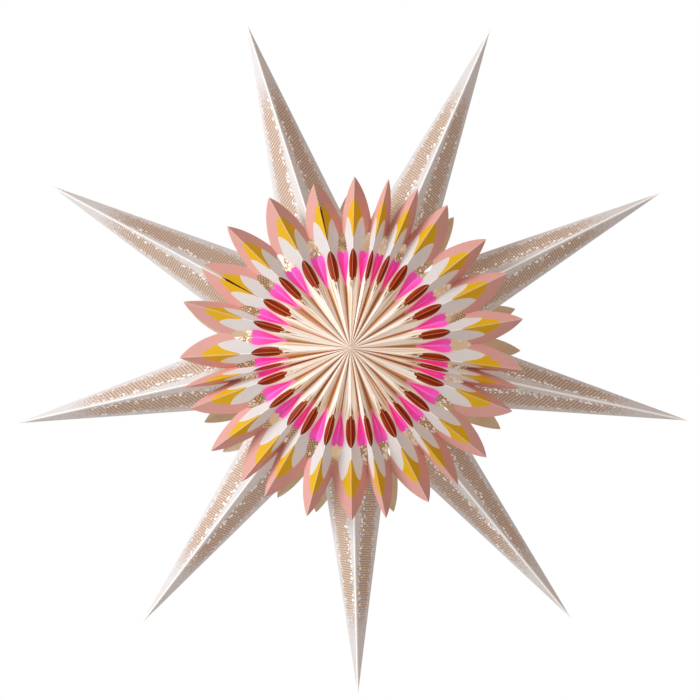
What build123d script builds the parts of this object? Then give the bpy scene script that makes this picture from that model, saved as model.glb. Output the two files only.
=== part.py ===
from build123d import *
import os
from math import acos, cos, hypot, radians, sin

os.makedirs("parts", exist_ok=True)

# Hanging paper star. Millimetres. Its axis is Y, its front faces -Y, its middle is the origin and +Z is up.
# Azimuths are in degrees, anticlockwise from +X as seen from the front.

# Nine hollow points, folded from stiff paper
point_azimuths = [108.0, 66.7, 26.9, -12.0, -50.9, -89.1, -127.6, -167.6, -208.5]
point_reaches = [401.5, 408.0, 404.5, 401.0, 404.0, 403.5, 404.5, 403.0, 403.5]  # axis to tip
spine_half_depth = 100.0  # middle plane to where the points' ridges meet, front and back
valley_reach = 123.0  # axis to where two neighbours part
point_wall = 0.4
spine_hole_radius = 3.0  # small hole at the front where all the ridges would meet
lamp_hole_radius = 23.0  # round hole at the back for a lamp holder

# Pleated sheets: each of nine in a ring has two whole petals and two halves, cut from flat paper and folded
panel_angle = 9.95  # flat angle at the spine between a ridge and the next valley
sheet_depth = 0.6  # thickness of a folded sheet, measured along the axis
under_depth = 0.35  # the same of the thinner dark sheets
nest_gap = 0.3  # air between nested sheets, along the axis

# Distances along a panel from the spine, for the die-cut outline
petal_tip = 200.0
petal_notch = 153.0  # valley point between two petals
window_tip = 140.0  # outer point of the window across each valley
window_top = 137.8
window_shoulder = 133.5
window_waist = 126.0
window_corner = 115.5
lobe_top = 116.5
lobe_notch = 114.0
leaf_foot = 78.5  # inner point of the leaf-shaped cut-out across each ridge
leaf_heel = 84.0
leaf_widest = 97.0
leaf_shoulder = 107.5
leaf_brow = 112.5
leaf_end = 116.0
heel_half_width = 5.6
leaf_half_width = 7.2
shoulder_half_width = 6.1
brow_half_width = 3.6
sheet_start = 0.8  # front sheets come this close to the axis
split_edge = 156.0  # where the edge of a back petal, split from its neighbour, turns inwards
back_rim = 2.0  # back sheets stop this far outside the lamp hole
back_settle = 1.4  # cut short there, the back ring sits this much closer, its deepest valley on a point
under_ridge_reach = 172.0  # dark under-sheet, seen through the leaf cut-outs and the loose seams
under_shoulder = 117.0
under_valley_reach = 112.0

# Fractions of the panel angle, from the ridge, of the window's and the under-sheet's outlines
window_top_share = 0.87
window_shoulder_share = 0.775
window_waist_share = 0.69
window_corner_share = 0.62
lobe_share = 0.80
under_shoulder_share = 0.50
split_share = 0.93

# The petal's edge falls from tip to notch in straight steps, part line and part parabola
edge_bend = 0.4
edge_steps = 3

# Two seams of the front ring are loose: the petal there is split from its leaf to its tip
loose_seams = [102.2, 151.1]
gape_share = 0.07  # how far each half stands off the ridge at the tip

# Four ridges of each front sheet, clockwise from the top, as azimuth and lean towards the middle
front_modules = [
    ((102.2, 10.2), (88.8, 8.5), (77.4, 5.5), (67.3, 6.0)),
    ((67.3, 6.0), (56.1, 7.0), (38.9, 5.5), (25.6, 6.0)),
    ((25.6, 6.0), (9.6, 3.0), (-7.3, 5.5), (-13.4, 6.0)),
    ((-13.4, 6.0), (-21.3, 6.5), (-38.8, 4.5), (-51.9, 5.5)),
    ((-51.9, 5.5), (-63.2, 8.5), (-78.3, 6.5), (-89.8, 9.0)),
    ((-89.8, 9.0), (-104.7, 6.0), (-120.3, 9.0), (-129.3, 8.5)),
    ((-129.3, 8.5), (-143.7, 5.5), (-159.6, 9.0), (-166.9, 8.0)),
    ((-166.9, 8.0), (-176.9, 9.0), (-195.5, 5.0), (-208.9, 8.5)),
    ((-208.9, 8.5), (-224.6, 5.0), (-241.5, 8.5), (-257.8, 10.2)),
]

# The same for the back ring, seen through the star from the front: every ridge there leans alike
back_lean = 6.9
back_modules = [
    (108.0, 89.0, 77.5, 66.7),
    (66.7, 53.1, 39.5, 26.9),
    (26.9, 14.3, -0.2, -12.0),
    (-12.0, -28.3, -38.5, -50.9),
    (-50.9, -63.5, -76.2, -89.1),
    (-89.1, -103.2, -117.4, -127.6),
    (-127.6, -142.2, -154.3, -167.6),
    (-167.6, -177.5, -193.0, -208.5),
    (-208.5, -224.2, -239.5, -252.0),
]

# End cards: two stiff cards in the top valley, where the folded star is closed and hung
end_card = 0.6
card_band = 14.0  # width of each leg, measured away from the axis
ear_half_width = 8.0
ear_stand = 18.0  # from where the points part to the eyelet's hole

# Brass eyelet through both ears, and slide clips over the cards' inner edges
eyelet_bore_radius = 2.5
eyelet_wall = 0.5
eyelet_flange_radius = 4.6
eyelet_flange = 0.4
eyelet_play = 0.05
clip_wall = 0.4
clip_length = 12.0
clip_grip = 6.0
clip_depth = 40.0  # middle plane to the clip, along the axis
clip_play = 0.05

front = Vector(0, -1, 0)
back = Vector(0, 1, 0)
top_gap = (point_azimuths[0] + point_azimuths[1]) / 2
under_apex = spine_half_depth + nest_gap + under_depth
front_apex = under_apex + nest_gap + sheet_depth
back_apex = spine_half_depth + nest_gap + sheet_depth - back_settle
ear_reach = valley_reach + ear_stand


def spoke(azimuth):
    """Unit vector away from the axis."""
    return Vector(cos(radians(azimuth)), 0, sin(radians(azimuth)))


def across(azimuth):
    """Unit normal of the plane through the axis, on its anticlockwise side."""
    return Vector(-sin(radians(azimuth)), 0, cos(radians(azimuth)))


def ridge_line(azimuth, lean, outward):
    """Direction of a ridge from the spine: it leans back towards the middle plane."""
    return spoke(azimuth) * cos(radians(lean)) - outward * sin(radians(lean))


def valley_line(left, right, outward):
    """Direction of the valley between two ridges, set back so that both panels keep their flat angle."""
    middle = (left + right).normalized()
    inward = left.cross(right).normalized()
    if inward.dot(outward) > 0:
        inward = inward * -1
    set_back = acos(cos(radians(panel_angle)) / middle.dot(left))
    return middle * cos(set_back) + inward * sin(set_back)


def on_panel(distance, share):
    """Point of a flat panel, at a distance from the spine and a share of the way from ridge to valley."""
    angle = radians(panel_angle * share)
    return (distance * cos(angle), distance * sin(angle))


def half_spacing(index, step):
    """Half the angle from a point to its neighbour, one step on in the list of points."""
    turn = point_azimuths[(index + step) % len(point_azimuths)] - point_azimuths[index]
    return abs((turn + 180) % 360 - 180) / 2


def root_half_width(reach, half_angle):
    """Half-width at the axis of a point that parts from its neighbour at the valley's reach."""
    along = valley_reach * cos(radians(half_angle))
    aside = valley_reach * sin(radians(half_angle))
    return reach * aside / (reach - along)


def hollow_point(index):
    """A four-sided hollow spike with a ridge in front and behind, open to the star's middle."""
    azimuth = point_azimuths[index]
    reach = point_reaches[index]
    left = half_spacing(index, -1)
    right = half_spacing(index, 1)
    left_width = root_half_width(reach, left)
    right_width = root_half_width(reach, right)
    left_side = hypot(left_width, spine_half_depth)
    right_side = hypot(right_width, spine_half_depth)
    inscribed = (left_width + right_width) * spine_half_depth / (left_side + right_side)
    centre = (left_width * right_side - right_width * left_side) / (left_side + right_side)
    shrink = point_wall / inscribed
    tip = spoke(azimuth) * reach
    inner_tip = spoke(azimuth) * reach * (1 - shrink) + across(azimuth) * centre * shrink
    root = Plane(origin=(0, 0, 0), x_dir=across(azimuth), z_dir=spoke(azimuth))
    corners = [(left_width, 0), (0, spine_half_depth), (-right_width, 0), (0, -spine_half_depth)]
    with BuildSketch(root) as outside:
        with BuildLine():
            Polyline(*corners, close=True)
        make_face()
    with BuildSketch(root) as inside:
        with BuildLine():
            Polyline(*corners, close=True)
        make_face()
        offset(amount=-point_wall, kind=Kind.INTERSECTION, mode=Mode.REPLACE)
    with BuildPart() as point:
        loft(sections=[outside.sketch.face(), Vertex(*tip)])
        loft(sections=[inside.sketch.face(), Vertex(*inner_tip)], mode=Mode.SUBTRACT)
        for side, half_angle in ((1, left), (-1, right)):
            page = azimuth + side * half_angle
            normal = across(page) * side
            # The two points beside the end cards make room for one card each
            beside_card = abs((page - top_gap + 180) % 360 - 180) < 1
            seat = normal * (-end_card if beside_card else 0)
            split(bisect_by=Plane(origin=seat, z_dir=normal), keep=Keep.BOTTOM)
        with BuildSketch(Plane(origin=(0, 0, 0), x_dir=(1, 0, 0), z_dir=front)):
            Circle(spine_hole_radius)
        extrude(amount=2 * spine_half_depth, mode=Mode.SUBTRACT)
        with BuildSketch(Plane(origin=(0, 0, 0), x_dir=(1, 0, 0), z_dir=back)):
            Circle(lamp_hole_radius)
        extrude(amount=2 * spine_half_depth, mode=Mode.SUBTRACT)
    return point.part


def is_loose(azimuth):
    """Whether a ridge lies on one of the loose seams."""
    return any(abs((azimuth - seam + 180) % 360 - 180) < 0.1 for seam in loose_seams)


def folded_sheet(module, panel, apex, depth, outward, seam_panel=None):
    """Six panels of one flat outline, folded between four ridges and three valleys."""
    ridges = [ridge_line(azimuth, lean, outward) for azimuth, lean in module]
    loose = [is_loose(azimuth) for azimuth, lean in module]
    with BuildPart() as sheet:
        for number in range(len(ridges) - 1):
            valley = valley_line(ridges[number], ridges[number + 1], outward)
            for side in (number, number + 1):
                # Local X runs out along the ridge and local Y towards the valley
                ridge = ridges[side]
                panel_plane = Plane(origin=outward * apex, x_dir=ridge, z_dir=ridge.cross(valley))
                with BuildSketch(panel_plane):
                    add(seam_panel.sketch if seam_panel and loose[side] else panel.sketch)
                extrude(amount=depth, dir=outward * -1)
    return sheet.part


def petal_edge(gape=0.0):
    """Edge of a half petal from its tip to the notch beside it."""
    steps = [gape + (1 - gape) * step / edge_steps for step in range(edge_steps + 1)]
    drop = petal_tip - petal_notch
    return [
        on_panel(petal_tip - drop * share * (1 - edge_bend + edge_bend * share), share)
        for share in steps
    ]


def front_petal(gape=0.0):
    """Die-cut half petal: ridge with half a leaf, the petal's edge, a web, half a window and valley."""
    heel = (leaf_heel, heel_half_width)
    widest = (leaf_widest, leaf_half_width)
    with BuildSketch() as panel:
        with BuildLine():
            Polyline((sheet_start, 0), (leaf_foot, 0), heel)
            TangentArc(widest, heel, tangent=(-1, 0))
            Polyline(
                widest,
                (leaf_shoulder, shoulder_half_width),
                (leaf_brow, brow_half_width),
                (leaf_end, 0),
                *petal_edge(gape),
                on_panel(window_tip, 1),
                on_panel(window_top, window_top_share),
                on_panel(window_shoulder, window_shoulder_share),
                *petal_root,
                on_panel(sheet_start, 1),
                (sheet_start, 0),
            )
        make_face()
    return panel


def back_petal():
    """Half a petal of the back ring: no leaf, and split from its neighbour as far as the root."""
    start = lamp_hole_radius + back_rim
    with BuildSketch() as panel:
        with BuildLine():
            Polyline(
                (start, 0),
                *petal_edge()[:-1],
                on_panel(split_edge, split_share),
                *petal_root,
                on_panel(start, 1),
                close=True,
            )
        make_face()
    return panel


# The same lower part of a petal's side for both rings
petal_root = [
    on_panel(window_waist, window_waist_share),
    on_panel(window_corner, window_corner_share),
    on_panel(lobe_top, lobe_share),
    on_panel(lobe_notch, 1),
]

# Points
for number in range(len(point_azimuths)):
    point = hollow_point(number)
    point.label = f"point_{number + 1}"
    export_step(point, f"parts/{point.label}.step")

# Front ring of die-cut sheets, each with a dark sheet nested behind it
front_panel = front_petal()
seam_panel = front_petal(gape_share)
with BuildSketch() as under_panel:
    with BuildLine():
        Polyline(
            (sheet_start, 0),
            (under_ridge_reach, 0),
            on_panel(under_shoulder, under_shoulder_share),
            on_panel(under_valley_reach, 1),
            on_panel(sheet_start, 1),
            close=True,
        )
    make_face()
for number, module in enumerate(front_modules, start=1):
    sheet = folded_sheet(module, front_panel, front_apex, sheet_depth, front, seam_panel)
    sheet.label = f"front_sheet_{number}"
    export_step(sheet, f"parts/{sheet.label}.step")
    sheet = folded_sheet(module, under_panel, under_apex, under_depth, front)
    sheet.label = f"under_sheet_{number}"
    export_step(sheet, f"parts/{sheet.label}.step")

# Back ring, cut short around the lamp hole
back_panel = back_petal()
for number, azimuths in enumerate(back_modules, start=1):
    module = [(azimuth, back_lean) for azimuth in azimuths]
    sheet = folded_sheet(module, back_panel, back_apex, sheet_depth, back)
    sheet.label = f"back_sheet_{number}"
    export_step(sheet, f"parts/{sheet.label}.step")

# End cards: two legs along the points' valley, and an ear between them that stands out past it
card_plane = Plane(origin=(0, 0, 0), x_dir=spoke(top_gap), z_dir=across(top_gap))
for label, side in (("end_card_left", 1), ("end_card_right", -1)):
    with BuildPart() as card:
        with BuildSketch(card_plane):
            with BuildLine():
                Polyline(
                    (0, -spine_half_depth),
                    (valley_reach, 0),
                    (0, spine_half_depth),
                    close=True,
                )
            make_face()
            with BuildLine():
                Polyline(
                    (-card_band, -spine_half_depth),
                    (valley_reach - card_band, 0),
                    (-card_band, spine_half_depth),
                    close=True,
                )
            make_face(mode=Mode.SUBTRACT)
            Rectangle(2 * spine_hole_radius, 2 * spine_half_depth, mode=Mode.SUBTRACT)
            with Locations((0, spine_half_depth)):
                Rectangle(
                    2 * lamp_hole_radius, 2 * spine_half_depth, mode=Mode.SUBTRACT
                )
            with Locations((valley_reach - card_band, 0)):
                Rectangle(
                    ear_reach - valley_reach + card_band,
                    2 * ear_half_width,
                    align=(Align.MIN, Align.CENTER),
                )
            with Locations((ear_reach, 0)):
                Circle(ear_half_width)
                Circle(eyelet_bore_radius + eyelet_wall + eyelet_play, mode=Mode.SUBTRACT)
        extrude(amount=side * end_card)
    card.part.label = label
    export_step(card.part, f"parts/{label}.step")

# Eyelet: a short tube with a turned-over flange on each face of the pair of cards
barrel_radius = eyelet_bore_radius + eyelet_wall
flange_face = end_card + eyelet_flange
eyelet_centre = spoke(top_gap) * ear_reach
with BuildPart() as hanging_eyelet:
    with BuildSketch(Plane(origin=eyelet_centre, x_dir=spoke(top_gap), z_dir=front)):
        with BuildLine():
            Polyline(
                (eyelet_bore_radius, -flange_face),
                (eyelet_flange_radius, -flange_face),
                (eyelet_flange_radius, -end_card),
                (barrel_radius, -end_card),
                (barrel_radius, end_card),
                (eyelet_flange_radius, end_card),
                (eyelet_flange_radius, flange_face),
                (eyelet_bore_radius, flange_face),
                close=True,
            )
        make_face()
    revolve(axis=Axis(eyelet_centre, across(top_gap)))
hanging_eyelet.part.label = "hanging_eyelet"
export_step(hanging_eyelet.part, "parts/hanging_eyelet.step")

# Slide clips: each a U that grips the inner edges of both cards, one on each leg
clip_reach = valley_reach * (1 - clip_depth / spine_half_depth) - card_band
for label, side in (("card_clip_front", -1), ("card_clip_back", 1)):
    along_leg = spoke(top_gap) * side * valley_reach - back * spine_half_depth
    edge = spoke(top_gap) * clip_reach + back * side * clip_depth
    edge_plane = Plane(origin=edge, x_dir=along_leg, z_dir=across(top_gap))
    with BuildPart() as clip:
        with BuildSketch(edge_plane):
            with Locations((0, -clip_play - clip_wall)):
                Rectangle(
                    clip_length,
                    clip_wall + clip_play + clip_grip,
                    align=(Align.CENTER, Align.MIN),
                )
        extrude(amount=end_card + clip_play + clip_wall, both=True)
        with BuildSketch(edge_plane):
            with Locations((0, -clip_play)):
                Rectangle(
                    clip_length, clip_play + clip_grip, align=(Align.CENTER, Align.MIN)
                )
        extrude(amount=end_card + clip_play, both=True, mode=Mode.SUBTRACT)
    clip.part.label = label
    export_step(clip.part, f"parts/{label}.step")
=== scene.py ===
from math import acos, cos, radians, sin

import bmesh
import bpy
from mathutils import Matrix, Vector


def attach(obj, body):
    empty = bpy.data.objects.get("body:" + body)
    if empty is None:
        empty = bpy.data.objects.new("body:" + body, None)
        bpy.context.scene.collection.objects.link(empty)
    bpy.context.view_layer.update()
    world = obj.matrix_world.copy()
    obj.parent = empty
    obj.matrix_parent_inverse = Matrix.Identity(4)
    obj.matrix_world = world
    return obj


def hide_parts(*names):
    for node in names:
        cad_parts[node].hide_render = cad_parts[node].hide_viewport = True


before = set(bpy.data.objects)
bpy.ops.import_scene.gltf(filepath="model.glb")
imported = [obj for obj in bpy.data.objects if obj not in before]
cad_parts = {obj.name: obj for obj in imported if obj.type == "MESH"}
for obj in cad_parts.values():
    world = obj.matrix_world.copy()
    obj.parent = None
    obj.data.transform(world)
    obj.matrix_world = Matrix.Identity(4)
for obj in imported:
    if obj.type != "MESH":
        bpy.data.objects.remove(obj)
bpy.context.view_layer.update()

outFront = Vector((0, -1, 0))
outBack = Vector((0, 1, 0))
mm = 0.001

# The shape itself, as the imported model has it, in millimetres and degrees
star = {
    "azimuths": [108.0, 66.7, 26.9, -12.0, -50.9, -89.1, -127.6, -167.6, -208.5],
    "reaches": [401.5, 408.0, 404.5, 401.0, 404.0, 403.5, 404.5, 403.0, 403.5],  # axis to tip
    "parting": 123.0,  # axis to where two points part
}


# Camera: nearly straight in front, a little right of the axis and a little below it
camera = {
    "distance": 3.9,
    "turn": 1.4,
    "rise": -0.8,
    "viewWidth": 0.819,  # metres across the picture at the middle of the star
    "aim": (-0.0029, 0, -0.0008),
    "sensor": 36.0,
}


def addCamera():
    data = bpy.data.cameras.new("camera")
    data.sensor_width = camera["sensor"]
    data.lens = camera["sensor"] * camera["distance"] / camera["viewWidth"]
    data.clip_end = 50
    lookFrom = bpy.data.objects.new("camera", data)
    turn, rise = radians(camera["turn"]), radians(camera["rise"])
    away = Vector((sin(turn) * cos(rise), -cos(turn) * cos(rise), sin(rise)))
    aim = Vector(camera["aim"])
    lookFrom.location = aim + away * camera["distance"]
    lookFrom.rotation_euler = (-away).to_track_quat("-Z", "Y").to_euler()
    bpy.context.scene.collection.objects.link(lookFrom)
    bpy.context.scene.camera = lookFrom


addCamera()
print("camera placed")


# Colours are given as sRGB 0-255
def paint(red, green, blue):
    return [pow((c / 255 + 0.055) / 1.055, 2.4) if c > 10 else c / 3295 for c in (red, green, blue)] + [1]


# A material and short names for the nodes that draw on it
class Shader:
    def __init__(self, name, roughness, specular=0.3):
        self.material = bpy.data.materials.new(name)
        self.material.use_nodes = True
        self.nodes = self.material.node_tree.nodes
        self.links = self.material.node_tree.links
        self.skin = self.nodes["Principled BSDF"]
        self.skin.inputs["Roughness"].default_value = roughness
        self.skin.inputs["Specular IOR Level"].default_value = specular

    def put(self, socket, value):
        if isinstance(value, bpy.types.NodeSocket):
            self.links.new(value, socket)
        else:
            socket.default_value = value

    def math(self, kind, *values):
        node = self.nodes.new("ShaderNodeMath")
        node.operation = kind
        for socket, value in zip(node.inputs, values):
            self.put(socket, value)
        return node.outputs[0]

    def times(self, first, second):
        return self.math("MULTIPLY", first, second)

    def plus(self, first, second):
        return self.math("ADD", first, second)

    def minus(self, first, second):
        return self.math("SUBTRACT", first, second)

    def over(self, first, second):
        return self.math("DIVIDE", first, second)

    def least(self, first, second):
        return self.math("MINIMUM", first, second)

    def most(self, first, second):
        return self.math("MAXIMUM", first, second)

    def size(self, value):
        return self.math("ABSOLUTE", value)

    def length(self, x, y):
        return self.math("SQRT", self.plus(self.times(x, x), self.times(y, y)))

    # 0 at low, 1 at high
    def step(self, value, low, high, smooth=True):
        node = self.nodes.new("ShaderNodeMapRange")
        node.interpolation_type = "SMOOTHSTEP" if smooth else "LINEAR"
        self.put(node.inputs["Value"], value)
        self.put(node.inputs["From Min"], low)
        self.put(node.inputs["From Max"], high)
        return node.outputs["Result"]

    # A drawn line through the given points, 0-1 both ways
    def curve(self, value, points):
        node = self.nodes.new("ShaderNodeFloatCurve")
        line = node.mapping.curves[0]
        for _ in range(len(points) - 2):
            line.points.new(0.5, 0.5)
        for knot, (x, y) in zip(line.points, points):
            knot.location = (x, y)
        node.mapping.update()
        self.put(node.inputs["Value"], value)
        return node.outputs[0]

    def blend(self, mask, under, over):
        node = self.nodes.new("ShaderNodeMix")
        node.data_type = "RGBA"
        self.put(node.inputs["Factor"], mask)
        self.put(node.inputs[6], under)
        self.put(node.inputs[7], over)
        return node.outputs[2]

    # The same, with the mask weakened
    def lay(self, under, over, mask, strength):
        return self.blend(self.times(mask, strength), under, over)

    def noise(self, vector, scale, detail=2.0, rough=0.5):
        node = self.nodes.new("ShaderNodeTexNoise")
        self.links.new(vector, node.inputs["Vector"])
        node.inputs["Scale"].default_value = scale
        node.inputs["Detail"].default_value = detail
        node.inputs["Roughness"].default_value = rough
        return node.outputs["Fac"]

    def objectPlace(self):
        return self.nodes.new("ShaderNodeTexCoord").outputs["Object"]

    def split(self, vector):
        node = self.nodes.new("ShaderNodeSeparateXYZ")
        self.links.new(vector, node.inputs[0])
        return node.outputs

    def join(self, x, y, z):
        node = self.nodes.new("ShaderNodeCombineXYZ")
        for socket, value in zip(node.inputs, (x, y, z)):
            self.put(socket, value)
        return node.outputs[0]

    # Painted glow: an emission stands in for the light that thin paper lets through, warmed by the print
    # behind it
    def shineThrough(self, colour, strength, tint):
        node = self.nodes.new("ShaderNodeMix")
        node.data_type = "RGBA"
        node.blend_type = "MULTIPLY"
        node.inputs["Factor"].default_value = 1.0
        self.put(node.inputs[6], colour)
        node.inputs[7].default_value = tint
        self.links.new(node.outputs[2], self.skin.inputs["Emission Color"])
        self.put(self.skin.inputs["Emission Strength"], strength)

    # Soft patches of a second colour
    def cloud(self, colour, over, place, scale, edges, strength):
        return self.lay(colour, over, self.step(self.noise(place, scale), *edges), strength)

    # Fine paper tooth
    def grain(self, place, scale=900.0, depth=0.00005, strength=0.35):
        bump = self.nodes.new("ShaderNodeBump")
        bump.inputs["Strength"].default_value = strength
        bump.inputs["Distance"].default_value = depth
        self.links.new(self.noise(place, scale, 3.0, 0.6), bump.inputs["Height"])
        self.links.new(bump.outputs[0], self.skin.inputs["Normal"])


# Folded sheets
sheet = {
    "panelAngle": 9.95,  # flat angle between a ridge and the next valley
    "tip": 200.0,
    "notch": 153.0,
    "edgeBend": 0.4,
    "edgeSteps": 12,
    "start": 0.8,
    # Window across the valley, from its outer tip round to the two lobes: distance, share of the panel
    "window": [
        (140.0, 1), (139.3, 0.94), (137.8, 0.875), (135.9, 0.825), (133.5, 0.775), (130.2, 0.73),
        (126.0, 0.69), (121.0, 0.655), (117.0, 0.63), (115.4, 0.64), (115.4, 0.68), (116.1, 0.74),
        (116.6, 0.80), (116.2, 0.87), (115.2, 0.93), (114.2, 0.97), (113.9, 1),
    ],
    "windowFoot": 5,  # first corner of the window that the back petals share
    # Leaf across the ridge: distance and half width
    "leafFoot": [
        (78.5, 0), (78.9, 1.3), (80.6, 2.4), (82.9, 3.0), (83.2, 4.1), (82.7, 5.2), (84.6, 5.7),
        (88.0, 6.4), (92.0, 6.95),
    ],
    "leafWidest": 97.0,
    "leafEnd": 116.0,
    "leafHalfWidth": 7.2,
    "leafSteps": 12,
    "leafCrowd": 1.6,  # how far the steps crowd towards the leaf's outer end
    "leafRound": (2.2, 0.65),  # how blunt that end is
    "gape": 0.07,  # how far each half of a loose petal stands off the ridge at its tip
    "looseSeams": [102.2, 151.1],
    "cuts": (30, 200, 20),  # panels are cut across every 20 mm from 30
    "paper": 0.35,
    "frontApex": 101.25,
    "underApex": 100.65,
    "backApex": 99.5,
    "backStart": 25.0,
    "backSplit": (156.0, 0.93),  # back petals are split from each other as far as the root
    "under": [(172.0, 0), (117.0, 0.5), (112.0, 1)],
    "underPaper": 0.25,
    "backLean": 6.9,
    "outside": 0.2,  # faces turned outwards more than this carry the print
}
# Four ridges of each front sheet, clockwise from the top, as azimuth and lean
frontModules = [
    ((102.2, 10.2), (88.8, 8.5), (77.4, 5.5), (67.3, 6.0)),
    ((67.3, 6.0), (56.1, 7.0), (38.9, 5.5), (25.6, 6.0)),
    ((25.6, 6.0), (9.6, 3.0), (-7.3, 5.5), (-13.4, 6.0)),
    ((-13.4, 6.0), (-21.3, 6.5), (-38.8, 4.5), (-51.9, 5.5)),
    ((-51.9, 5.5), (-63.2, 8.5), (-78.3, 6.5), (-89.8, 9.0)),
    ((-89.8, 9.0), (-104.7, 6.0), (-120.3, 9.0), (-129.3, 8.5)),
    ((-129.3, 8.5), (-143.7, 5.5), (-159.6, 9.0), (-166.9, 8.0)),
    ((-166.9, 8.0), (-176.9, 9.0), (-195.5, 5.0), (-208.9, 8.5)),
    ((-208.9, 8.5), (-224.6, 5.0), (-241.5, 8.5), (-257.8, 10.2)),
]
# Azimuths of the back ridges, which all lean alike
backModules = [
    (108.0, 89.0, 77.5, 66.7),
    (66.7, 53.1, 39.5, 26.9),
    (26.9, 14.3, -0.2, -12.0),
    (-12.0, -28.3, -38.5, -50.9),
    (-50.9, -63.5, -76.2, -89.1),
    (-89.1, -103.2, -117.4, -127.6),
    (-127.6, -142.2, -154.3, -167.6),
    (-167.6, -177.5, -193.0, -208.5),
    (-208.5, -224.2, -239.5, -252.0),
]


def spoke(azimuth):
    return Vector((cos(radians(azimuth)), 0, sin(radians(azimuth))))


def ridgeLine(azimuth, lean, outward):
    return spoke(azimuth) * cos(radians(lean)) - outward * sin(radians(lean))


# The valley between two ridges keeps the flat angle to both
def valleyLine(left, right, outward):
    middle = (left + right).normalized()
    inward = left.cross(right).normalized()
    if inward.dot(outward) > 0:
        inward = -inward
    setBack = acos(cos(radians(sheet["panelAngle"])) / middle.dot(left))
    return middle * cos(setBack) + inward * sin(setBack)


def onPanel(distance, share):
    angle = radians(sheet["panelAngle"] * share)
    return (distance * cos(angle), distance * sin(angle))


def isLoose(azimuth):
    return any(abs((azimuth - seam + 180) % 360 - 180) < 0.1 for seam in sheet["looseSeams"])


def petalEdge(gape=0.0):
    drop, bend, steps = sheet["tip"] - sheet["notch"], sheet["edgeBend"], sheet["edgeSteps"]
    shares = [gape + (1 - gape) * step / steps for step in range(steps + 1)]
    return [onPanel(sheet["tip"] - drop * share * (1 - bend + bend * share), share) for share in shares]


# Half a petal laid flat: along the ridge, round the petal's edge and back by the valley
def frontOutline(gape=0.0):
    points = [(sheet["start"], 0)] + sheet["leafFoot"]
    reach, steps = sheet["leafEnd"] - sheet["leafWidest"], sheet["leafSteps"]
    wide, narrow = sheet["leafRound"]
    for step in range(steps + 1):
        along = 1 - (1 - step / steps) ** sheet["leafCrowd"]
        halfWidth = sheet["leafHalfWidth"] * (1 - along ** wide) ** narrow
        points.append((sheet["leafWidest"] + reach * along, halfWidth))
    points += petalEdge(gape)
    points += [onPanel(*corner) for corner in sheet["window"]]
    points.append(onPanel(sheet["start"], 1))
    return points


# The back ring has no leaves and no web between its petals
def backOutline():
    points = [(sheet["backStart"], 0)] + petalEdge()[:-1]
    points.append(onPanel(*sheet["backSplit"]))
    points += [onPanel(*corner) for corner in sheet["window"][sheet["windowFoot"]:]]
    points.append(onPanel(sheet["backStart"], 1))
    return points


# The dark sheet behind has a narrow tongue up under each ridge
def underOutline():
    start = sheet["start"]
    return [(start, 0)] + [onPanel(*corner) for corner in sheet["under"]] + [onPanel(start, 1)]


# One panel as a flat face, cut across a few times, with its flat place kept as its UV.
# The UV's second part is negative on the clockwise side of a ridge.
def flatPanel(outline, side):
    panel = bmesh.new()
    corners = [panel.verts.new((x * mm, y * mm, 0)) for x, y in outline]
    panel.faces.new(corners)
    for distance in range(*sheet["cuts"]):
        everything = panel.verts[:] + panel.edges[:] + panel.faces[:]
        cutAt = (distance * mm, 0, 0)
        bmesh.ops.bisect_plane(panel, geom=everything, dist=1e-6, plane_co=cutAt, plane_no=(1, 0, 0))
    bmesh.ops.triangulate(panel, faces=panel.faces[:])
    flat = panel.loops.layers.uv.new("flat")
    whole = sheet["tip"] * mm
    for face in panel.faces:
        for loop in face.loops:
            loop[flat].uv = (loop.vert.co.x / whole, side * loop.vert.co.y / whole)
    mesh = bpy.data.meshes.new("flat")
    panel.to_mesh(mesh)
    panel.free()
    return mesh


# Six flat panels set between four ridges and three valleys, then given the paper's thickness
def foldedSheet(name, module, outline, apex, outward, paper, looseOutline=None):
    ridges = [ridgeLine(azimuth, lean, outward) for azimuth, lean in module]
    folded = bmesh.new()
    for number in range(len(ridges) - 1):
        valley = valleyLine(ridges[number], ridges[number + 1], outward)
        for side, index in ((-1, number), (1, number + 1)):
            ridge = ridges[index]
            loose = looseOutline and isLoose(module[index][0])
            flatMesh = flatPanel(looseOutline if loose else outline, side)
            towards = (valley - ridge * valley.dot(ridge)).normalized()
            place = Matrix((ridge, towards, ridge.cross(towards))).transposed().to_4x4()
            place.translation = outward * apex * mm
            done = len(folded.verts)
            folded.from_mesh(flatMesh)
            bmesh.ops.transform(folded, matrix=place, verts=folded.verts[done:])
            bpy.data.meshes.remove(flatMesh)
    bmesh.ops.remove_doubles(folded, verts=folded.verts[:], dist=1e-6)
    grown = bmesh.ops.extrude_face_region(folded, geom=folded.faces[:], use_keep_orig=True)
    inner = [part for part in grown["geom"] if isinstance(part, bmesh.types.BMVert)]
    bmesh.ops.translate(folded, verts=inner, vec=-outward * paper * mm)
    bmesh.ops.recalc_face_normals(folded, faces=folded.faces[:])
    for face in folded.faces:
        face.material_index = 0 if face.normal.dot(outward) > sheet["outside"] else 1
    mesh = bpy.data.meshes.new(name)
    folded.to_mesh(mesh)
    folded.free()
    piece = bpy.data.objects.new(name, mesh)
    bpy.context.scene.collection.objects.link(piece)
    return piece


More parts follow.
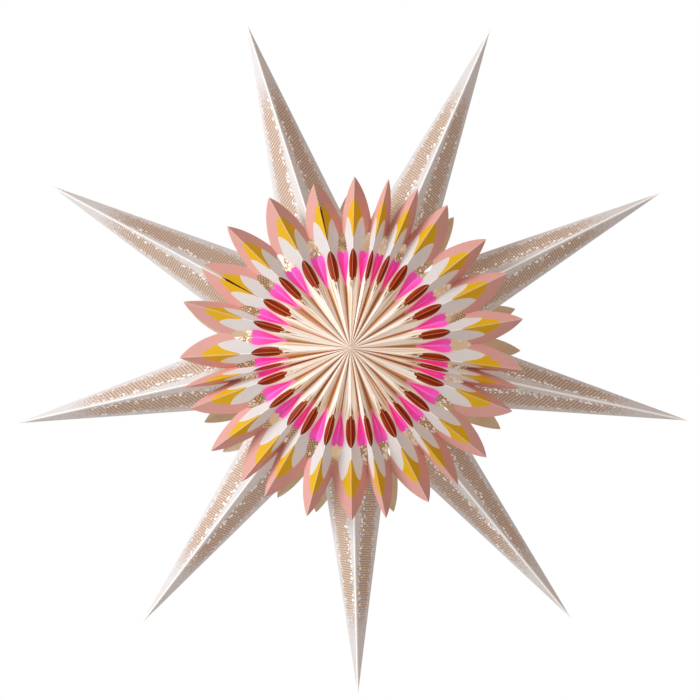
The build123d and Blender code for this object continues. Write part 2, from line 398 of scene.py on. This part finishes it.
# Print on the petals, drawn from each panel's own flat place
petalPrint = {
    "roughness": 0.62,
    "specular": 0.15,
    "pink": paint(234, 175, 165),
    "yellow": paint(238, 187, 28),
    "white": paint(218, 216, 218),
    "ovalRim": paint(252, 240, 238),
    "cream": paint(253, 245, 234),
    # painted warm shade in the valleys of the middle pleats
    "valleyShade": paint(176, 98, 6),
    # tan and the white below it: painted shade and painted highlight of the small folds in the middle
    "tan": paint(214, 150, 70),
    "highlightWhite": paint(250, 246, 242),
    "hotTop": paint(246, 98, 206),
    "hotMiddle": paint(252, 78, 178),
    "hotPoint": paint(234, 26, 110),
    # painted highlight along each heart's valley fold
    "heartFoldHighlight": paint(255, 126, 236),
    # painted pink bounce light round the hearts
    "blush": paint(246, 150, 182),
    # painted shade of a dark gap beside the ridge, inward of each leaf
    "fleck": paint(138, 82, 28),
    # painted shade of the sunken tongue below each leaf, and a painted highlight on its rim
    "sunkShade": paint(204, 176, 138),
    "sunkRimLight": paint(255, 252, 248),
    # painted highlight along each fold of the petals
    "foldHighlight": paint(252, 250, 250),
    "cloud": paint(150, 130, 115),
    "soft": 0.45,  # mm over which one field turns into the next
    "softShare": 0.01,  # the same as a share of the panel
    "diamondFoot": 128.5,  # mm from the middle, on the ridge
    "diamondTop": 174.5,
    "diamondSide": 155.0,
    "diamondShare": 0.485,
    "diamondLower": [(0, 0), (0.12, 0.05), (0.29, 0.28), (0.49, 0.61), (0.72, 0.84), (1, 1)],
    "diamondUpper": [(0, 0), (0.31, 0.13), (0.63, 0.485), (0.87, 0.825), (1, 1)],
    "ovalFall": 22.0,
    "ovalFallShare": 0.29,
    "ovalFallBend": 1.35,
    "ovalRimHalf": (1.0, 0.3),
    "ovalRimInk": 0.6,
    "creamFrom": 84.0,
    "creamTo": 112.0,
    "middle": (100.0, 72.0),  # the pleats of the middle begin and are full here
    "streaks": 30.0,  # fineness of the rays of painted shade and highlight
    "subFoldShade": (0.54, 0.66),
    "subFoldShadeInk": 0.7,
    "subFoldHighlight": (0.46, 0.38),
    "subFoldHighlightInk": 0.8,
    "valleyShadeFrom": 0.9,  # share of the panel where the painted shade of the valley begins, less where uneven
    "valleyShadeWander": 0.45,
    "valleyShadeFull": 0.95,
    "valleyShadeBend": 0.8,
    "valleyShadeInk": 0.95,
    "unevenness": 7.0,  # broad rays in which the painted valley shade and the painted shade of the tongue below each leaf are stronger
    "uneven": (0.32, 0.56),
    "sunkShadeFrom": 56.0,
    "sunkShadeTo": 80.0,
    "sunkShadeHalf": 5.6,  # half width of the tongue of painted shade below a leaf, where it meets the leaf
    "sunkShadeBegin": 6.0,  # mm over which it begins
    "sunkShadeSoft": 0.3,
    "sunkShadeEnd": (88.0, 84.0),
    "sunkShadeInk": 0.9,
    "sunkRimLightBegin": 4.0,
    "sunkRimLightHalf": (0.9, 0.4),
    "sunkRimLightEnd": (86.0, 82.0),
    "sunkRimLightInk": 0.8,
    "heartPoint": 75.0,
    "heartEnd": 117.0,
    # Heart's half width as a share of the panel, doubled, from its point to the window
    "heart": [
        (0, 0), (0.12, 0.22), (0.24, 0.42), (0.36, 0.60), (0.48, 0.75), (0.60, 0.88), (0.70, 0.95),
        (0.80, 0.97), (0.88, 0.93), (0.95, 0.82), (1, 0.70),
    ],
    "heartBegin": (-1, 1),  # mm either side of its point
    "heartStop": (2, 0.5),
    "heartSoft": 0.012,
    "blushWidth": 0.20,
    "blushInk": 0.6,
    "hotTurns": ((0.0, 0.55), (0.5, 1.0)),  # along the heart: point to middle, middle to top
    "heartFoldHighlightAt": (0.88, 0.96),
    "heartFoldHighlightInk": 0.8,
    "gapShadeAt": (73.5, 0.9),
    "gapShadeHalf": (4.2, 1.9),
    "gapShadeSlant": 0.22,
    "gapShadeLeast": 0.15,
    "gapShadeMore": 0.9,  # larger where uneven
    "gapShadeSoft": 0.7,
    "foldHighlightHalf": (1.1, 0.5),
    "foldHighlightFrom": (2.0, 16.0),
    "foldHighlightInk": 0.95,
    "foldHighlightLoss": 0.62,  # weaker painted highlight past the oval
    "clouds": (60.0, (0.2, 0.8), 0.05),  # scale, edges and strength
    "through": 0.17,
    "throughMiddle": 0.15,
    "throughTint": (1.0, 0.79, 0.58, 1),
}


# Distance from the middle in mm, share from ridge to valley, and mm from the ridge,
# negative clockwise of it
def flatPlace(shader):
    node = shader.nodes.new("ShaderNodeUVMap")
    node.uv_map = "flat"
    x, y, _ = shader.split(node.outputs[0])
    x = shader.times(x, sheet["tip"])
    aside = shader.times(y, sheet["tip"])
    turn = shader.math("ARCTAN2", shader.size(aside), x)
    return shader.length(x, aside), shader.over(turn, radians(sheet["panelAngle"])), aside


# Noise drawn out into rays from the middle of the star
def rays(shader, place, fineness, wander=8.0):
    x, _, z = shader.split(place)
    turn = shader.times(shader.math("ARCTAN2", z, x), fineness)
    out = shader.times(shader.length(x, z), wander)
    return shader.noise(shader.join(turn, out, 0.0), 1.0, 1.0)


# Where the white oval and the yellow diamond end, as distances from the middle
def petalEnds(shader, share):
    p = petalPrint
    side = p["diamondShare"]
    near = shader.over(shader.least(share, side), side)
    beyond = shader.over(shader.most(shader.minus(share, side), 0.0), p["ovalFallShare"])
    rise = shader.times(shader.curve(near, p["diamondLower"]), p["diamondSide"] - p["diamondFoot"])
    fall = shader.times(shader.math("POWER", beyond, p["ovalFallBend"]), p["ovalFall"])
    slope = shader.times(shader.curve(near, p["diamondUpper"]), p["diamondTop"] - p["diamondSide"])
    ovalEnd = shader.minus(shader.plus(rise, p["diamondFoot"]), fall)
    return ovalEnd, shader.minus(p["diamondTop"], slope)


# From the pink outer field inwards to the cream root
def petalFields(shader, distance, share):
    p = petalPrint
    soft, softShare = p["soft"], p["softShare"]
    ovalEnd, diamondEnd = petalEnds(shader, share)
    pastOval = shader.step(shader.minus(distance, ovalEnd), -soft, soft)
    pastDiamond = shader.step(shader.minus(distance, diamondEnd), -soft, soft)
    besideDiamond = shader.step(share, p["diamondShare"] - softShare, p["diamondShare"] + softShare)
    colour = shader.blend(pastDiamond, p["yellow"], p["pink"])
    colour = shader.blend(besideDiamond, colour, p["pink"])
    colour = shader.blend(pastOval, p["white"], colour)
    ovalRim = shader.step(shader.size(shader.minus(distance, ovalEnd)), *p["ovalRimHalf"])
    colour = shader.lay(colour, p["ovalRim"], ovalRim, p["ovalRimInk"])
    pastCream = shader.step(distance, p["creamFrom"], p["creamTo"])
    return shader.blend(pastCream, p["cream"], colour), pastOval


# Pleats of the middle: uneven tan streaks of painted shade and white streaks of painted highlight for
# small folds, and painted warm shade in the valleys
def middlePleats(shader, colour, place, share, inMiddle, uneven):
    p = petalPrint
    streak = rays(shader, place, p["streaks"])
    # Small folds of the middle: tan streaks paint their shade, white streaks their highlight
    subFoldShade = shader.times(shader.step(streak, *p["subFoldShade"]), inMiddle)
    colour = shader.lay(colour, p["tan"], subFoldShade, p["subFoldShadeInk"])
    subFoldHighlight = shader.times(shader.step(streak, *p["subFoldHighlight"]), inMiddle)
    colour = shader.lay(colour, p["highlightWhite"], subFoldHighlight, p["subFoldHighlightInk"])
    # Painted warm shade deep in each valley
    valleyShadeFrom = shader.minus(p["valleyShadeFrom"], shader.times(uneven, p["valleyShadeWander"]))
    inValley = shader.step(share, valleyShadeFrom, p["valleyShadeFull"], smooth=False)
    inValley = shader.times(shader.math("POWER", inValley, p["valleyShadeBend"]), inMiddle)
    return shader.lay(colour, p["valleyShade"], inValley, p["valleyShadeInk"])


# Below each leaf a tan tongue of painted shade, where the fold sinks in, narrows towards the middle, with
# a light rim of painted highlight
def shadedTongues(shader, colour, distance, aside, uneven):
    p = petalPrint
    start = p["sunkShadeFrom"]
    tongue = shader.times(shader.step(distance, start, p["sunkShadeTo"], smooth=False), p["sunkShadeHalf"])
    offTongue = shader.minus(shader.size(aside), tongue)
    onTongue = shader.step(offTongue, p["sunkShadeSoft"], -p["sunkShadeSoft"])
    onTongue = shader.times(onTongue, shader.step(distance, start, start + p["sunkShadeBegin"]))
    onTongue = shader.times(onTongue, shader.step(distance, *p["sunkShadeEnd"]))
    colour = shader.lay(colour, p["sunkShade"], onTongue, shader.times(uneven, p["sunkShadeInk"]))
    rimHighlight = shader.step(shader.size(offTongue), *p["sunkRimLightHalf"])
    rimHighlight = shader.times(rimHighlight, shader.step(distance, start, start + p["sunkRimLightBegin"]))
    rimHighlight = shader.times(rimHighlight, shader.step(distance, *p["sunkRimLightEnd"]))
    return shader.lay(colour, p["sunkRimLight"], rimHighlight, p["sunkRimLightInk"])


# Heart: from its inner point it widens towards the window, with a painted pink glow of bounced light
# round it
def hearts(shader, colour, distance, share):
    p = petalPrint
    along = shader.over(shader.minus(distance, p["heartPoint"]), p["heartEnd"] - p["heartPoint"])
    along = shader.most(along, 0.0)
    half = shader.times(shader.curve(shader.least(along, 1.0), p["heart"]), 0.5)
    within = shader.minus(half, shader.minus(1.0, share))
    begun = shader.step(distance, *[p["heartPoint"] + offset for offset in p["heartBegin"]])
    stopped = shader.step(distance, *[p["heartEnd"] + offset for offset in p["heartStop"]])
    bounds = shader.times(begun, stopped)
    # Painted pink bounce light round the heart
    blush = shader.times(shader.step(within, -p["blushWidth"], 0.0), bounds)
    colour = shader.lay(colour, p["blush"], blush, p["blushInk"])
    inHeart = shader.times(shader.step(within, -p["heartSoft"], p["heartSoft"]), bounds)
    toMiddle, toTop = p["hotTurns"]
    hot = shader.blend(shader.step(along, *toMiddle), p["hotPoint"], p["hotMiddle"])
    hot = shader.blend(shader.step(along, *toTop), hot, p["hotTop"])
    # Painted highlight along the heart's valley fold
    hot = shader.lay(hot, p["heartFoldHighlight"], shader.step(share, *p["heartFoldHighlightAt"]), p["heartFoldHighlightInk"])
    return shader.blend(inHeart, colour, hot)


# Small dark marks beside the ridge, inward of the leaf: painted shade where the star's dark inside would
# show through a gap
def gapShades(shader, colour, distance, aside, uneven):
    p = petalPrint
    middleAt, asideAt = p["gapShadeAt"]
    halfLength, halfWidth = p["gapShadeHalf"]
    u = shader.minus(distance, middleAt)
    v = shader.minus(shader.minus(aside, asideAt), shader.times(u, p["gapShadeSlant"]))
    u = shader.math("POWER", shader.size(shader.over(u, halfLength)), 2.0)
    v = shader.math("POWER", shader.size(shader.over(v, halfWidth)), 2.0)
    size = shader.plus(shader.times(uneven, p["gapShadeMore"]), p["gapShadeLeast"])
    gapShade = shader.step(shader.plus(u, v), size, shader.times(size, p["gapShadeSoft"]))
    return shader.blend(gapShade, colour, p["fleck"])


def petalMaterial():
    p = petalPrint
    shader = Shader("petal print", p["roughness"], p["specular"])
    place = shader.objectPlace()
    distance, share, aside = flatPlace(shader)
    inMiddle = shader.step(distance, *p["middle"])
    uneven = shader.step(rays(shader, place, p["unevenness"]), *p["uneven"])
    colour, pastOval = petalFields(shader, distance, share)
    colour = middlePleats(shader, colour, place, share, inMiddle, uneven)
    colour = shadedTongues(shader, colour, distance, aside, uneven)
    colour = hearts(shader, colour, distance, share)
    colour = gapShades(shader, colour, distance, aside, uneven)
    # A painted highlight draws the fold itself as a lighter line
    foldHighlight = shader.step(shader.size(aside), *p["foldHighlightHalf"])
    foldHighlight = shader.times(foldHighlight, shader.step(distance, *p["foldHighlightFrom"]))
    foldHighlight = shader.times(foldHighlight, shader.minus(p["foldHighlightInk"], shader.times(pastOval, p["foldHighlightLoss"])))
    colour = shader.blend(foldHighlight, colour, p["foldHighlight"])
    colour = shader.cloud(colour, p["cloud"], place, *p["clouds"])
    shader.put(shader.skin.inputs["Base Color"], colour)
    onOval = shader.minus(1.0, shader.most(pastOval, inMiddle))
    through = shader.times(onOval, p["through"])
    through = shader.plus(through, shader.times(inMiddle, p["throughMiddle"]))
    shader.shineThrough(colour, through, p["throughTint"])
    shader.grain(place)
    return shader.material


# Bare back and cut edges of the printed sheets
bare = {
    "paper": paint(222, 207, 188),
    "cloud": paint(213, 194, 169),
    "clouds": (45.0, (0.25, 0.75), 0.5),
    "roughness": 0.85,
    "through": 0.14,
    "throughTint": (1.0, 0.84, 0.66, 1),
}


def reverseMaterial():
    shader = Shader("bare paper", bare["roughness"])
    place = shader.objectPlace()
    colour = shader.cloud(bare["paper"], bare["cloud"], place, *bare["clouds"])
    shader.put(shader.skin.inputs["Base Color"], colour)
    shader.shineThrough(colour, bare["through"], bare["throughTint"])
    shader.grain(place)
    return shader.material


underPrint = {
    "roughness": 0.5,
    "specular": 0.15,
    "red": paint(158, 40, 12),
    # orange: painted sheen of the leaves
    "orange": paint(200, 104, 40),
    "streak": paint(112, 24, 12),
    # ridge: painted highlight along the fold
    "ridge": paint(226, 148, 84),
    # dark: painted shade of the inside, seen through the loose seams
    "dark": paint(74, 16, 12),
    "cloud": paint(90, 25, 12),
    "darkFrom": 119.0,
    "darkSoft": 4.0,
    "ridgeHighlightHalf": 0.45,
    "ridgeHighlightSoft": 0.25,
    "rimFrom": 0.20,  # share of the panel where the red turns to a painted orange sheen
    "rimTo": 0.42,
    "streaks": (90.0, 3.0),
    "streakEdges": (0.45, 0.65),
    "streakInk": 0.5,
    "clouds": (80.0, (0.3, 0.7), 0.12),
}


def underMaterial():
    p = underPrint
    shader = Shader("dark print", p["roughness"], p["specular"])
    place = shader.objectPlace()
    distance, share, aside = flatPlace(shader)
    streak = shader.step(rays(shader, place, *p["streaks"]), *p["streakEdges"])
    # Away from the ridge the red turns to a painted orange sheen
    colour = shader.blend(shader.step(share, p["rimFrom"], p["rimTo"]), p["red"], p["orange"])
    colour = shader.lay(colour, p["streak"], streak, p["streakInk"])
    # Painted highlight along the fold
    half, soft = p["ridgeHighlightHalf"], p["ridgeHighlightSoft"]
    onRidgeHighlight = shader.step(shader.size(aside), half + soft, half - soft)
    colour = shader.blend(onRidgeHighlight, colour, p["ridge"])
    # Farther out, painted shade of the inside, seen through the loose seams
    isDark = shader.step(distance, p["darkFrom"] - p["darkSoft"], p["darkFrom"])
    colour = shader.blend(isDark, colour, p["dark"])
    colour = shader.cloud(colour, p["cloud"], place, *p["clouds"])
    shader.put(shader.skin.inputs["Base Color"], colour)
    shader.grain(place)
    return shader.material


# Puts a folded piece in the place of its CAD sheet
def take(piece, node, printed):
    piece.data.materials.append(printed)
    piece.data.materials.append(barePaper)
    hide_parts(node)
    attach(piece, "root")


petalPaint = petalMaterial()
barePaper = reverseMaterial()
underPaint = underMaterial()
plainFlat = frontOutline()
looseFlat = frontOutline(sheet["gape"])
backFlat = backOutline()
underFlat = underOutline()
for number, module in enumerate(frontModules, start=1):
    name = f"front_petals_{number}"
    front = foldedSheet(name, module, plainFlat, sheet["frontApex"], outFront, sheet["paper"], looseFlat)
    take(front, f"front_sheet_{number}", petalPaint)
    name = f"dark_leaves_{number}"
    dark = foldedSheet(name, module, underFlat, sheet["underApex"], outFront, sheet["underPaper"])
    take(dark, f"under_sheet_{number}", underPaint)
for number, azimuths in enumerate(backModules, start=1):
    module = [(azimuth, sheet["backLean"]) for azimuth in azimuths]
    name = f"back_petals_{number}"
    back = foldedSheet(name, module, backFlat, sheet["backApex"], outBack, sheet["paper"])
    take(back, f"back_sheet_{number}", petalPaint)
print("petals folded")


# Print on the hollow points: a band of slanting strokes on each long face, edged with white dots
pointPrint = {
    "roughness": 0.8,
    "paper": paint(222, 220, 221),
    "tan": paint(178, 130, 78),
    "white": paint(250, 248, 246),
    "root": paint(140, 92, 44),
    "rootPaper": paint(238, 220, 194),
    "cloud": paint(170, 165, 160),
    "clouds": (30.0, (0.25, 0.75), 0.05),
    "bandSpan": (150.0, 320.0),  # mm from the axis, where the band has its first and its last width
    "bandInner": (0.32, 0.10),  # share of the face from the ridge, near the root and at the far end
    "bandOuter": (0.94, 0.94),
    "bandSoft": (0.04, 0.06),  # share before and after its inner side, over which it begins
    "bandFade": 0.24,  # share over which its outer side thins out
    "fadeFrom": 285.0,
    "fadeTo": 345.0,
    "raggedness": 0.55,
    "raggedFade": 150.0,
    # Strokes of each point: degrees anticlockwise from its ridge, and mm from one to the next
    "strokeTurns": [-55, 75, -80, 50, 80, 84, -80, -51, 84],
    "strokePitches": [3.0, 2.8, 2.8, 3.4, 2.8, 2.8, 2.8, 3.4, 2.8],
    "strokeEdges": (0.10, 0.34),
    "strokeWander": 2.0,
    "bandInk": 0.30,
    "strokeInk": 0.52,
    "dotScale": 0.30,
    "dotSpread": 0.8,
    "dotDrawn": 1.5,  # dots are longer along the point
    "dotLeast": 0.08,
    "dotMore": 0.26,  # added towards the band's edges
    "dotMoreFrom": (0.15, 0.40),
    "dotSoft": 0.10,
    # half width of the painted highlight along the ridge
    "ridgeHighlightHalf": 1.1,
    "ridgeHighlightSoft": 0.3,
    "rootTo": 150.0,  # near the root a closer lattice covers the face
    "rootSoft": 6.0,
    "lattice": ((48, (0.14, 0.30)), (-52, (0.16, 0.28))),  # degrees from the ridge, and stroke edges
    "latticeInk": 0.8,
    "latticePatches": (0.40, 0.54),
    "apart": 7.0,  # moves the noise on from one point to the next
    "through": 0.13,
    "throughMore": 0.12,  # more painted glow, added at the dots, the ridge and the root
    "throughTint": (1.0, 0.94, 0.87, 1),
}


def halfSpacing(index, step):
    azimuths = star["azimuths"]
    turn = azimuths[(index + step) % len(azimuths)] - azimuths[index]
    return abs((turn + 180) % 360 - 180) / 2


def rootHalfWidth(reach, halfAngle):
    along = star["parting"] * cos(radians(halfAngle))
    aside = star["parting"] * sin(radians(halfAngle))
    return reach * aside / (reach - along)


# Mm along a point, mm anticlockwise of its ridge, and share of the face from ridge to side
def pointPlace(shader, place, index):
    turned = shader.nodes.new("ShaderNodeMapping")
    turned.inputs["Rotation"].default_value[1] = radians(star["azimuths"][index])
    shader.links.new(place, turned.inputs["Vector"])
    x, _, z = shader.split(turned.outputs[0])
    along = shader.times(x, 1 / mm)
    aside = shader.times(z, 1 / mm)
    reach = star["reaches"][index]
    leftWidth = rootHalfWidth(reach, halfSpacing(index, -1))
    rightWidth = rootHalfWidth(reach, halfSpacing(index, 1))
    isLeft = shader.math("GREATER_THAN", aside, 0.0)
    width = shader.plus(shader.times(isLeft, leftWidth - rightWidth), rightWidth)
    taper = shader.minus(1.0, shader.over(along, reach))
    return along, aside, shader.over(shader.size(aside), shader.times(width, taper))


def pointMaterial(index):
    p = pointPrint
    shader = Shader(f"point print {index + 1}", p["roughness"])
    place = shader.objectPlace()
    along, aside, share = pointPlace(shader, place, index)
    onFace = shader.join(along, aside, index * p["apart"])

    def strokes(degrees, edges):
        turn = radians(degrees)
        wander = shader.times(shader.minus(shader.noise(onFace, 0.05), 0.5), p["strokeWander"])
        phase = shader.minus(shader.times(along, sin(turn)), shader.times(aside, cos(turn)))
        phase = shader.over(shader.plus(phase, wander), p["strokePitches"][index])
        return shader.step(shader.math("PINGPONG", phase, 0.5), *edges)

    # Band of strokes, its edges broken into dots and dashes
    stroke = strokes(p["strokeTurns"][index], p["strokeEdges"])
    reachOut = shader.step(along, *p["bandSpan"], smooth=False)
    inner, outer = [
        shader.plus(shader.times(reachOut, last - first), first)
        for first, last in (p["bandInner"], p["bandOuter"])
    ]
    rough = shader.minus(shader.noise(onFace, 0.45, 2.0, 0.6), 0.5)
    rough = shader.times(rough, p["raggedness"])
    jagged = shader.plus(share, rough)
    before, after = p["bandSoft"]
    band = shader.step(jagged, shader.minus(inner, before), shader.plus(inner, after))
    band = shader.times(band, shader.step(jagged, outer, shader.minus(outer, p["bandFade"])))
    fadeEnd = shader.plus(along, shader.times(rough, p["raggedFade"]))
    band = shader.times(band, shader.step(fadeEnd, p["fadeTo"], p["fadeFrom"]))
    # White dots, close together at the band's edges
    cells = shader.nodes.new("ShaderNodeTexVoronoi")
    cells.inputs["Scale"].default_value = p["dotScale"]
    cells.inputs["Randomness"].default_value = p["dotSpread"]
    drawnOut = shader.join(shader.over(along, p["dotDrawn"]), aside, index * p["apart"])
    shader.links.new(drawnOut, cells.inputs["Vector"])
    middle = shader.over(shader.plus(inner, outer), 2.0)
    offMiddle = shader.over(shader.size(shader.minus(share, middle)), shader.minus(outer, inner))
    dotSize = shader.times(shader.step(offMiddle, *p["dotMoreFrom"]), p["dotMore"])
    dotSize = shader.plus(dotSize, p["dotLeast"])
    dot = shader.step(cells.outputs["Distance"], shader.plus(dotSize, p["dotSoft"]), dotSize)
    ink = shader.times(shader.plus(shader.times(stroke, p["strokeInk"]), p["bandInk"]), band)
    colour = shader.blend(ink, p["paper"], p["tan"])
    # Painted highlight along the ridge
    half, soft = p["ridgeHighlightHalf"], p["ridgeHighlightSoft"]
    onRidgeHighlight = shader.step(shader.size(aside), half + soft, half - soft)
    colour = shader.blend(onRidgeHighlight, colour, p["white"])
    # Lattice near the root
    lattice = shader.most(*[strokes(degrees, edges) for degrees, edges in p["lattice"]])
    nearRoot = shader.step(along, p["rootTo"] + p["rootSoft"], p["rootTo"] - p["rootSoft"])
    patches = shader.step(shader.noise(onFace, 0.035), *p["latticePatches"])
    latticed = shader.lay(p["rootPaper"], p["root"], shader.times(lattice, patches), p["latticeInk"])
    colour = shader.blend(nearRoot, colour, latticed)
    dot = shader.times(dot, shader.most(band, nearRoot))
    colour = shader.blend(dot, colour, p["white"])
    colour = shader.cloud(colour, p["cloud"], place, *p["clouds"])
    shader.put(shader.skin.inputs["Base Color"], colour)
    through = shader.times(shader.most(shader.most(dot, onRidgeHighlight), nearRoot), p["throughMore"])
    shader.shineThrough(colour, shader.plus(through, p["through"]), p["throughTint"])
    shader.grain(place)
    return shader.material


# A CAD node keeps its mesh and gets a finish
def dress(node, material):
    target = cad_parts[node]
    target.data.materials.clear()
    target.data.materials.append(material)


for index in range(len(star["azimuths"])):
    dress(f"point_{index + 1}", pointMaterial(index))
print("points printed")


# Stiff card, brass and clip steel
fittings = {
    "card": paint(232, 226, 214),
    "fleck": paint(196, 186, 168),
    "fleckInk": 0.25,
    "cardRoughness": 0.85,
    "cardGrain": (500.0, 0.0001),
    "brass": (paint(222, 184, 108), paint(176, 134, 66), 0.28),  # bright, dull and roughness
    "clipSteel": (paint(205, 206, 210), paint(160, 162, 168), 0.35),
    "metalGrain": (1200.0, 0.00002, 0.2),
    "dullMore": 0.2,  # how much rougher the dull marks are
}


def cardMaterial():
    shader = Shader("white card", fittings["cardRoughness"])
    place = shader.objectPlace()
    flecks = shader.step(shader.noise(place, 350.0, 4.0, 0.7), 0.62, 0.72)
    colour = shader.lay(fittings["card"], fittings["fleck"], flecks, fittings["fleckInk"])
    shader.put(shader.skin.inputs["Base Color"], colour)
    shader.grain(place, *fittings["cardGrain"])
    return shader.material


def metalMaterial(name, bright, dull, roughness):
    shader = Shader(name, roughness)
    place = shader.objectPlace()
    shader.skin.inputs["Metallic"].default_value = 1.0
    marks = shader.noise(place, 700.0, 4.0, 0.65)
    shader.put(shader.skin.inputs["Base Color"], shader.blend(marks, bright, dull))
    dullMore = fittings["dullMore"]
    uneven = shader.plus(shader.times(marks, dullMore), roughness - dullMore / 2)
    shader.put(shader.skin.inputs["Roughness"], uneven)
    shader.grain(place, *fittings["metalGrain"])
    return shader.material


whiteCard = cardMaterial()
dress("end_card_left", whiteCard)
dress("end_card_right", whiteCard)
dress("hanging_eyelet", metalMaterial("brass", *fittings["brass"]))
clipSteel = metalMaterial("clip steel", *fittings["clipSteel"])
dress("card_clip_front", clipSteel)
dress("card_clip_back", clipSteel)
print("cards, eyelet and clips dressed")


# Studio: white all round, a large soft lamp to the left and a pale floor well below the star
studio = {
    "fill": 0.41,
    "fillTint": (1.0, 0.82, 0.72, 1),  # light thrown back by the warm prints all round
    "key": 37.5,
    "keyTint": (0.93, 0.97, 1.0),
    "keyAt": (-1.80, -1.20, 0.70),
    "keySize": 0.95,
    "floorDrop": 0.75,
    "floorSize": 2.3,
    "floorColour": (0.8, 0.8, 0.8, 1),
    "floorFade": (0.5, 2.0),  # metres from the middle, where the floor turns into plain white
}


def addWorld():
    world = bpy.data.worlds.new("studio")
    bpy.context.scene.world = world
    world.use_nodes = True
    nodes, links = world.node_tree.nodes, world.node_tree.links
    background = nodes["Background"]
    path = nodes.new("ShaderNodeLightPath")
    seen = nodes.new("ShaderNodeMath")
    seen.operation = "MAXIMUM"
    links.new(path.outputs["Is Camera Ray"], seen.inputs[0])
    mirrored = nodes.new("ShaderNodeMath")
    mirrored.operation = "MAXIMUM"
    links.new(path.outputs["Is Glossy Ray"], mirrored.inputs[0])
    links.new(path.outputs["Is Transmission Ray"], mirrored.inputs[1])
    links.new(mirrored.outputs[0], seen.inputs[1])
    strength = nodes.new("ShaderNodeMapRange")
    strength.inputs["To Min"].default_value = studio["fill"]
    strength.inputs["To Max"].default_value = 1.0
    links.new(seen.outputs[0], strength.inputs["Value"])
    links.new(strength.outputs[0], background.inputs["Strength"])
    tint = nodes.new("ShaderNodeMix")
    tint.data_type = "RGBA"
    tint.inputs[6].default_value = studio["fillTint"]
    tint.inputs[7].default_value = (1, 1, 1, 1)
    links.new(seen.outputs[0], tint.inputs["Factor"])
    links.new(tint.outputs[2], background.inputs["Color"])


def addKey():
    data = bpy.data.lights.new("key", "AREA")
    data.shape = "DISK"
    data.energy = studio["key"]
    data.color = studio["keyTint"]
    data.size = studio["keySize"]
    lamp = bpy.data.objects.new("key", data)
    lamp.location = Vector(studio["keyAt"])
    lamp.rotation_euler = lamp.location.to_track_quat("Z", "Y").to_euler()
    bpy.context.scene.collection.objects.link(lamp)


def addFloor():
    plane = bmesh.new()
    bmesh.ops.create_grid(plane, x_segments=1, y_segments=1, size=studio["floorSize"])
    bmesh.ops.translate(plane, verts=plane.verts[:], vec=(0, 0, -studio["floorDrop"]))
    mesh = bpy.data.meshes.new("floor")
    plane.to_mesh(mesh)
    plane.free()
    floor = bpy.data.objects.new("floor", mesh)
    bpy.context.scene.collection.objects.link(floor)
    shader = Shader("floor", roughness=0.9)
    x, y, _ = shader.split(shader.objectPlace())
    away = shader.length(x, y)
    shader.skin.inputs["Base Color"].default_value = studio["floorColour"]
    glow = shader.nodes.new("ShaderNodeEmission")
    # The far floor looks white but gives no more light than the rest of the room
    path = shader.nodes.new("ShaderNodeLightPath")
    extra = shader.times(path.outputs["Is Camera Ray"], 1.0 - studio["fill"])
    shader.put(glow.inputs["Strength"], shader.plus(extra, studio["fill"]))
    fade = shader.nodes.new("ShaderNodeMixShader")
    shader.put(fade.inputs[0], shader.step(away, *studio["floorFade"]))
    shader.links.new(shader.skin.outputs[0], fade.inputs[1])
    shader.links.new(glow.outputs[0], fade.inputs[2])
    # Seen from below it isn't there
    clear = shader.nodes.new("ShaderNodeBsdfTransparent")
    side = shader.nodes.new("ShaderNodeNewGeometry")
    oneSided = shader.nodes.new("ShaderNodeMixShader")
    shader.links.new(side.outputs["Backfacing"], oneSided.inputs[0])
    shader.links.new(fade.outputs[0], oneSided.inputs[1])
    shader.links.new(clear.outputs[0], oneSided.inputs[2])
    output = shader.nodes["Material Output"]
    shader.links.new(oneSided.outputs[0], output.inputs["Surface"])
    floor.data.materials.append(shader.material)


addWorld()
addKey()
addFloor()
bpy.context.scene.view_settings.view_transform = "Standard"
print("studio lit")
